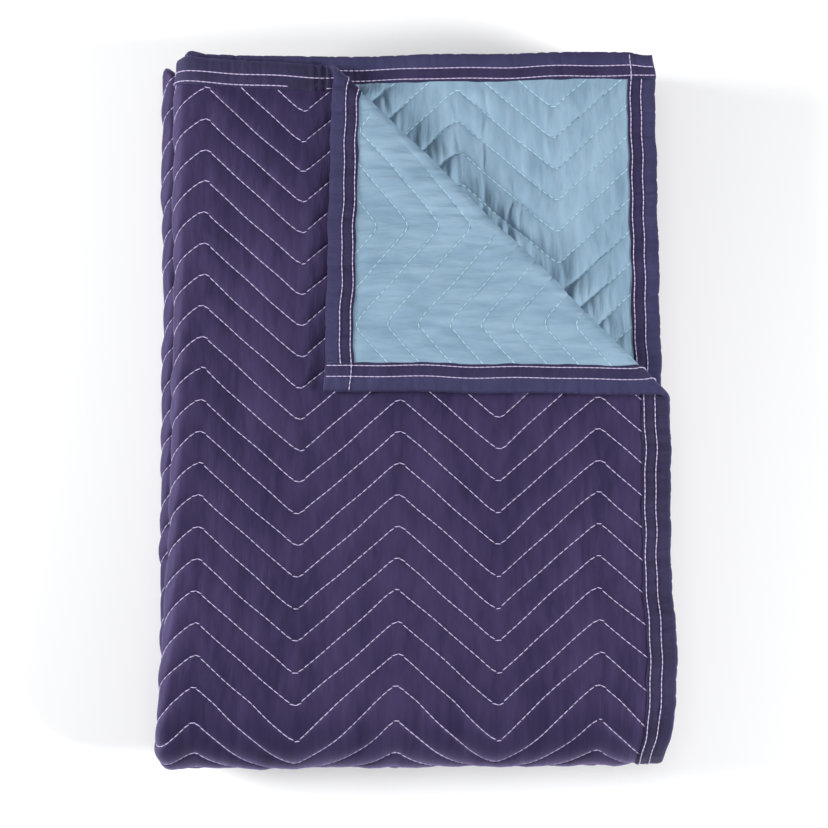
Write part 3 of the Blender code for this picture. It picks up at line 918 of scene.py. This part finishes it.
def whole_section():
    """The closed loop of the tape's section, as depths and heights, and which lie inside it."""
    outside = [*SECTION, *[(depth, -up) for depth, up in reversed(SECTION[:-1])]]
    inside = [*[(depth, -up) for depth, up in INNER_SECTION[:-1]], *reversed(INNER_SECTION)]
    is_inner = np.arange(len(outside) + len(inside)) >= len(outside)
    return np.array(outside + inside) * MM, is_inner


# %% Places and puckers along a strip
FINE_STEP = 1.3 * MM
PLAIN_STEP = 6 * MM
CLOSEST_STEP = 0.2 * MM
LAP_STEP = 0.6 * MM  # over this length the tape comes down from a lap
BEND_STEPS = 12
PUCKER_WAVES = ((5.3 * MM, 0.11), (8.9 * MM, 0.10), (27 * MM, 0.09))
SHARP_GAPS, SHARP_WIDTHS, SHARP_DEPTHS = (7, 19), (0.7, 1.4), (0.2, 0.8)
GATHERS = {"tape_face_end": WIDTH - 0.222}  # the run where the turned corner pulls at the tape
GATHER_REACH = 13 * MM
GATHER_LENGTH = 5.2 * MM
GATHER_DEEP = 1.1


def strip_runs(start, end, bends, shown):
    """Places along a strip: fine steps where it shows, and more of them in the tight bends."""
    runs = [np.arange(start, end, PLAIN_STEP), [end]]
    runs += [np.arange(max(low, start), min(high, end), FINE_STEP) for low, high in shown]
    runs += [np.linspace(low, high, BEND_STEPS) for low, high in bends]
    runs.append([BAND_DEEP, BAND_DEEP + LAP_STEP])
    merged = np.unique(np.round(np.concatenate(runs), 6))
    merged = merged[(merged >= start) & (merged <= end)]
    return merged[np.concatenate([[True], np.diff(merged) > CLOSEST_STEP])]


def puckers(runs, draw, gathered_at=None):
    """Pucker depths in millimetres along a strip: low waves, and sharp folds now and then."""
    depth = np.zeros_like(runs)
    for length, height in PUCKER_WAVES:
        depth += height * np.abs(np.sin(math.pi * runs / length + draw.uniform(0, 6)))
    at = runs.min()
    while at < runs.max():
        at += draw.uniform(*SHARP_GAPS) * MM
        wide, deep = draw.uniform(*SHARP_WIDTHS) * MM, draw.uniform(*SHARP_DEPTHS)
        depth += deep * bell(runs - at, wide)
    if gathered_at is not None:
        gather = np.abs(np.sin(math.pi * (runs - gathered_at) / GATHER_LENGTH)) ** 0.7
        depth += GATHER_DEEP * bell(runs - gathered_at, GATHER_REACH) * gather
    return depth


# %% The tape's points
CAP_RUNS = (-BAND_OUT, -1.0 * MM, -0.3 * MM)  # rings that round off the strip's capped end
CAP_FULLNESS = (0.3, 0.75, 0.95)
CAP_INSIDE = 0.02


def tape_heights(runs, section, is_inner, upper, lower):
    """Heights of the section along a strip: less the puckers, and more where strips lap."""
    fullness = np.ones(len(runs))
    fullness[: len(CAP_RUNS)] = CAP_FULLNESS
    height = np.repeat(section[None, :, 1], len(runs), axis=0)
    raised = np.clip((np.abs(height) - 1.45 * MM) / (0.8 * MM), 0, 1) * ~is_inner
    sunk = np.where(height > 0, upper[:, None], lower[:, None]) * MM
    height = height * fullness[:, None] - np.sign(height) * raised * sunk
    height[: len(CAP_RUNS), is_inner] *= CAP_INSIDE
    doubled = DOUBLED * (1 - smooth_step(BAND_DEEP, BAND_DEEP + LAP_STEP, runs))
    return height + np.sign(height) * raised * doubled[:, None]


def tape_depths(runs, section, is_inner, puckered, seed):
    """Depths from the raw edge: the free edge sways, and puckers draw in the turn."""
    depth = np.repeat(section[None, :, 0], len(runs), axis=0)
    sway = 0.3 * MM * np.sin(2 * math.pi * runs / 0.047 + seed)
    sway += 0.2 * MM * np.sin(2 * math.pi * runs / 0.019)
    depth[:, ~is_inner & (section[:, 0] > 13 * MM)] += sway[:, None]
    depth[:, ~is_inner & (section[:, 0] < 2 * MM)] += 0.7 * MM * puckered[:, None]
    return depth


def ring_faces(rings, ring):
    """Quads between rings of points, and a cap on both ends."""
    faces = []
    for i in range(rings - 1):
        for j in range(ring):
            k = (j + 1) % ring
            faces.append((i * ring + j, i * ring + k, (i + 1) * ring + k, (i + 1) * ring + j))
    faces.append(tuple(range(ring))[::-1])
    faces.append(tuple((rings - 1) * ring + j for j in range(ring)))
    return faces


# %% A strip of tape


def binding_object(name, axis, at_far_side, capped_far, shown, seed):
    """axis 0 runs along v on a side of the blanket, and axis 1 along u on an end."""
    across, long = (WIDTH, LENGTH) if axis == 0 else (LENGTH, WIDTH)
    bends = [HALFWAY_BEND] if axis == 0 else [LEFT_BEND, RIGHT_BEND]
    if capped_far:
        bends = [(long - high, long - low) for low, high in bends]
        shown = [(long - high, long - low) for low, high in shown]
    runs = strip_runs(0.6 * MM, long - BAND_DEEP - 0.3 * MM, bends, shown)
    runs = np.concatenate([CAP_RUNS, runs])
    section, is_inner = whole_section()
    draw = np.random.default_rng(seed)
    upper, lower = puckers(runs, draw, GATHERS.get(name)), puckers(runs, draw)
    height = tape_heights(runs, section, is_inner, upper, lower)
    depth = tape_depths(runs, section, is_inner, np.maximum(upper, lower), seed)
    run = np.repeat(runs[:, None], len(section), axis=1)
    tape_map = np.stack([run, depth * np.where(section[:, 1] < 0, -1, 1)], axis=2)
    if at_far_side:
        depth = across - depth
    if capped_far:
        run = long - run
    u, v = (depth, run) if axis == 0 else (run, depth)
    flat = np.stack([u, v, height], axis=2).reshape(-1, 3)
    faces = ring_faces(len(runs), len(section))
    if (axis == 0) == (at_far_side == capped_far):
        faces = [face[::-1] for face in faces]
    return new_object(name, folded(flat), faces, tape_map.reshape(-1, 2), TAPE, "tape")


# %% The four strips
STRIPS = {
    # strip: runs along, far side, capped at its far end, where it shows, seed
    "binding_right_side": (0, False, False, [(0, 0.90), (1.50, LENGTH)], 11),
    "binding_back_end": (1, True, False, [(0, 0.335)], 12),
    "binding_left_side": (0, True, True, [], 13),
    "binding_face_end": (1, False, True, [(0, 0.335)], 14),
}
bindings = {}
for name, values in STRIPS.items():
    bindings[name] = binding_object(name.replace("binding", "tape"), *values)

# %% [markdown]
# ## The stitches
#
# Thousands of stitches follow paths, so Geometry Nodes make them. Each path is a chain of
# points on the cloth that carries the cloth's outward direction. The tree turns the chains into
# curves, spaces points one stitch apart, and sets a small bead of thread on each, turned to the
# path and to the cloth.

# %% The stitch tree


def stitch_tree():
    """Beads of thread, one stitch apart, along the edges of a mesh."""
    tree = bpy.data.node_groups.new("sew_along_paths", "GeometryNodeTree")
    new_socket = tree.interface.new_socket
    new_socket("Geometry", in_out="INPUT", socket_type="NodeSocketGeometry")
    for label in ("Stitch Length", "Bead Length", "Thread Width", "Thread Height"):
        new_socket(label, in_out="INPUT", socket_type="NodeSocketFloat")
    new_socket("Material", in_out="INPUT", socket_type="NodeSocketMaterial")
    new_socket("Geometry", in_out="OUTPUT", socket_type="NodeSocketGeometry")
    given = node(tree, "NodeGroupInput")
    to_curve = node(tree, "GeometryNodeMeshToCurve")
    resample = node(tree, "GeometryNodeResampleCurve", mode="LENGTH")
    tangent = node(tree, "GeometryNodeInputTangent")
    outward = node(tree, "GeometryNodeInputNamedAttribute", data_type="FLOAT_VECTOR")
    outward.inputs["Name"].default_value = "outward"
    along = node(tree, "FunctionNodeAlignRotationToVector", axis="X")
    upright = node(tree, "FunctionNodeAlignRotationToVector", axis="Z", pivot_axis="X")
    bead = node(tree, "GeometryNodeMeshUVSphere", {"Segments": 5, "Rings": 3, "Radius": 0.5})
    size = node(tree, "ShaderNodeCombineXYZ")
    place = node(tree, "GeometryNodeInstanceOnPoints")
    smooth = node(tree, "GeometryNodeSetShadeSmooth", {"Shade Smooth": True})
    realize = node(tree, "GeometryNodeRealizeInstances")
    finish = node(tree, "GeometryNodeSetMaterial")
    result = node(tree, "NodeGroupOutput")
    chain = (given, to_curve, resample, place, smooth, realize, finish, result)
    link = tree.links.new
    for first, then in zip(chain, chain[1:]):
        link(first.outputs[0], then.inputs[0])
    link(given.outputs["Stitch Length"], resample.inputs["Length"])
    link(tangent.outputs[0], along.inputs["Vector"])
    link(along.outputs[0], upright.inputs["Rotation"])
    link(outward.outputs[0], upright.inputs["Vector"])
    for axis, label in zip("XYZ", ("Bead Length", "Thread Width", "Thread Height")):
        link(given.outputs[label], size.inputs[axis])
    link(bead.outputs["Mesh"], place.inputs["Instance"])
    link(upright.outputs[0], place.inputs["Rotation"])
    link(size.outputs[0], place.inputs["Scale"])
    link(given.outputs["Material"], finish.inputs["Material"])
    return tree


SEW = stitch_tree()


def sewn(name, paths, material, **sizes):
    """Beads of thread along flat paths, each an array of (u, v, w) whose w's sign is its side."""
    points, edges, start = [], [], 0
    for path in paths:
        points.append(path)
        edges += [(start + i, start + i + 1) for i in range(len(path) - 1)]
        start += len(path)
    flat = np.concatenate(points)
    lifted = flat.copy()
    lifted[:, 2] += np.sign(flat[:, 2]) * 0.1 * MM
    places = folded(flat)
    outward = folded(lifted) - places
    outward /= np.linalg.norm(outward, axis=1)[:, None]
    mesh = bpy.data.meshes.new(name + "_paths")
    mesh.from_pydata(places.tolist(), edges, [])
    stored = mesh.attributes.new("outward", "FLOAT_VECTOR", "POINT")
    stored.data.foreach_set("vector", outward.astype(np.float32).reshape(-1))
    guide = bpy.data.objects.new(name + "_paths", mesh)
    bpy.context.scene.collection.objects.link(guide)
    modifier = guide.modifiers.new("sew", "NODES")
    modifier.node_group = SEW
    sockets = {s.name: s.identifier for s in SEW.interface.items_tree if s.in_out == "INPUT"}
    modifier[sockets["Material"]] = material
    for label, value in sizes.items():
        modifier[sockets[label.replace("_", " ").title()]] = value
    graph = bpy.context.evaluated_depsgraph_get()
    made = bpy.data.meshes.new_from_object(guide.evaluated_get(graph))
    bpy.data.objects.remove(guide)
    bpy.data.meshes.remove(mesh)
    made.name = name
    return in_scene(name, made)


# %% Chevron rows
THREAD_OVER_SEAM = 0.28 * MM
SHORTEST_PATH = 4  # points
CLEAR_OF_TAPE = BAND_DEEP + 0.8 * MM
CLEAR_OF_FOLD = 9 * MM
QUILT_STITCH = {
    "stitch_length": 4.4 * MM,
    "bead_length": 5.4 * MM,
    "thread_width": 0.72 * MM,
    "thread_height": 0.75 * MM,
}


def chevron_paths(side, u_low, u_high, v_low, v_high):
    """The rows of stitches inside a rectangle of the flat blanket, cut at its edges."""
    wave_low, wave_high = u_low - 30 * MM, u_high + 10 * MM
    waves = np.arange(wave_low, wave_high, 1 * MM)
    waves = np.unique(np.round(np.concatenate([waves, TURN_WAVES]), 7))
    waves = waves[(waves > wave_low) & (waves < wave_high)]
    paths = []
    first = math.floor((row_distance(v_low) - WAVE_RISE - ROW_START) / ROW_PITCH)
    last = math.ceil((row_distance(v_high) - ROW_START) / ROW_PITCH)
    for row in range(first, last + 1):
        distance = ROW_START + row * ROW_PITCH + zigzag(waves)
        us, vs = place_across(waves, distance), row_place(distance)
        inside = (vs > v_low) & (vs < v_high) & (us > u_low) & (us < u_high)
        edges = np.flatnonzero(np.diff(np.concatenate([[0], inside.astype(int), [0]])))
        for low, high in zip(edges[::2], edges[1::2]):
            if high - low > SHORTEST_PATH:
                heights = np.full(high - low, side * (SEAM_HALF + THREAD_OVER_SEAM))
                paths.append(np.stack([us[low:high], vs[low:high], heights], axis=1))
    return paths


# %% The quilting's three pieces
past_left = LEFT_BEND[1] + 2 * MM
right_fold = (RIGHT_BEND[0] - CLEAR_OF_FOLD, RIGHT_BEND[1] + CLEAR_OF_FOLD)
halfway_fold = (HALFWAY_BEND[0] - CLEAR_OF_FOLD, HALFWAY_BEND[1] + CLEAR_OF_FOLD)
corner_sewn = (CLEAR_OF_TAPE, 0.235)
far_sewn = (LENGTH - 0.25, LENGTH - CLEAR_OF_TAPE)
QUILTING = {
    # piece: its side, and the places along u and along v where it is sewn
    "face_quilting": (1, [(CLEAR_OF_TAPE, past_left, CLEAR_OF_TAPE, HALFWAY_BEND[1])]),
    "fold_quilting": (1, [
        (*right_fold, halfway_fold[1], far_sewn[1]),
        (past_left, WIDTH - CLEAR_OF_TAPE, *halfway_fold),
    ]),
    "back_quilting": (-1, [(*corner_sewn, *corner_sewn), (*corner_sewn, *far_sewn)]),
}
quilting = {}
for name, (side, areas) in QUILTING.items():
    paths = [path for area in areas for path in chevron_paths(side, *area)]
    quilting[name] = sewn(name, paths, THREAD if side > 0 else BACK_THREAD, **QUILT_STITCH)

# %% Rows on the tape
# The face end's inner row stops and starts again where the turned corner pulls at the tape.
ROW_GAP = (0.2165, 0.2450)
FROM_END = 1.5 * MM
PATH_STEP = 1.2 * MM


def tape_paths(name, axis, at_far_side, capped_far):
    """Two rows on each side of a strip. The inner row goes on over the corner at its far end."""
    across, long = (WIDTH, LENGTH) if axis == 0 else (LENGTH, WIDTH)
    paths = []
    for depth in STITCH_DEPTHS:
        for side in (1, -1):
            crosses = depth == STITCH_DEPTHS[0]
            stop = long - FROM_END if crosses else long - BAND_DEEP - 1 * MM
            runs = np.arange(FROM_END, stop, PATH_STEP)
            doubled = (runs < BAND_DEEP) | (runs > long - BAND_DEEP)
            heights = side * (STITCH_HEIGHT + DOUBLED * doubled)
            if capped_far:
                runs = long - runs
            depths = np.full_like(runs, across - depth if at_far_side else depth)
            depths += 0.25 * MM * np.sin(2 * math.pi * runs / 0.053)
            pair = (depths, runs) if axis == 0 else (runs, depths)
            path = np.stack([*pair, heights], axis=1)
            if name == "binding_face_end" and crosses and side == 1:
                paths += [path[path[:, 0] < ROW_GAP[0]], path[path[:, 0] > ROW_GAP[1]]]
            else:
                paths.append(path)
    return paths


tape_rows = {}
for name, (axis, far_side, capped_far, _, _) in STRIPS.items():
    tape_rows[name] = sewn(
        name.replace("binding", "stitching"),
        tape_paths(name, axis, far_side, capped_far),
        THREAD,
        stitch_length=3.5 * MM,
        bead_length=4.7 * MM,
        thread_width=0.75 * MM,
        thread_height=0.85 * MM,
    )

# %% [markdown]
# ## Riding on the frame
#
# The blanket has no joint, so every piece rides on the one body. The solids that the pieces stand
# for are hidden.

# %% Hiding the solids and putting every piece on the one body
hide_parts("face_cloth")
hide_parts("back_cloth")
for name, tape in bindings.items():
    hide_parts(name)
threads = [*quilting.values(), *tape_rows.values()]
for piece in (face_ply, back_ply, *bindings.values(), *threads):
    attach(piece, "root")

# %% [markdown]
# ## Floor, light and camera
#
# The photograph looks almost straight down, and its light is even. Two lamps of almost the same
# strength stand low to the right and to the left, so that they model each ridge. A faint one hangs
# overhead, and a pale world does the rest.

# %% The floor
bpy.ops.mesh.primitive_plane_add(size=12)
floor = bpy.context.object
floor.name = "floor"
pale = bpy.data.materials.new("pale_floor")
pale.use_nodes = True
shader = pale.node_tree.nodes["Principled BSDF"]
shader.inputs["Base Color"].default_value = (0.95, 0.95, 0.95, 1)
shader.inputs["Roughness"].default_value = 0.9
floor.data.materials.append(pale)

# %% The lamps
LAMPS_AIM = Vector((0, 0, 0.05))


def area_lamp(name, place, size, watts):
    """A round lamp that looks at the middle of the pile."""
    data = bpy.data.lights.new(name, "AREA")
    data.shape = "DISK"
    data.size = size
    data.energy = watts
    lamp = bpy.data.objects.new(name, data)
    lamp.location = place
    lamp.rotation_euler = (LAMPS_AIM - Vector(place)).to_track_quat("-Z", "Y").to_euler()
    bpy.context.scene.collection.objects.link(lamp)


area_lamp("from_the_right", (1.8, -0.45, 1.0), size=0.6, watts=45)
area_lamp("from_the_left", (-1.7, 0.15, 0.7), size=0.7, watts=44)
area_lamp("overhead", (0.0, 0.2, 1.9), size=1.2, watts=7)

world = bpy.data.worlds.new("soft_studio")
world.use_nodes = True
background = world.node_tree.nodes["Background"]
background.inputs["Color"].default_value = (0.95, 0.97, 1.0, 1)
background.inputs["Strength"].default_value = 0.22
bpy.context.scene.world = world
bpy.context.scene.view_settings.view_transform = "Standard"

# %% The camera
FRAME_PIXELS = 828
PIXELS_PER_METRE = 1560  # at the pile's top, in the middle of the picture
DISTANCE = 1.27
ELEVATION = math.radians(84.5)
SENSOR_WIDTH = 36
AIM_PIXEL = (418.5, 411.0)  # where the middle of the top shows

away = Vector((0, -math.cos(ELEVATION), math.sin(ELEVATION)))
up = Vector((0, math.sin(ELEVATION), math.cos(ELEVATION)))
centre = FRAME_PIXELS / 2
aim = Vector((PLACE_X, PLACE_Y, PILE_TOP))
aim.x -= (AIM_PIXEL[0] - centre) / PIXELS_PER_METRE
aim -= up * ((centre - AIM_PIXEL[1]) / PIXELS_PER_METRE)
camera = bpy.data.objects.new("camera", bpy.data.cameras.new("camera"))
camera.location = aim + away * DISTANCE
camera.rotation_euler = (-away).to_track_quat("-Z", "Y").to_euler()
camera.data.sensor_width = SENSOR_WIDTH
camera.data.lens = SENSOR_WIDTH * PIXELS_PER_METRE * DISTANCE / FRAME_PIXELS
bpy.context.scene.collection.objects.link(camera)
bpy.context.scene.camera = camera
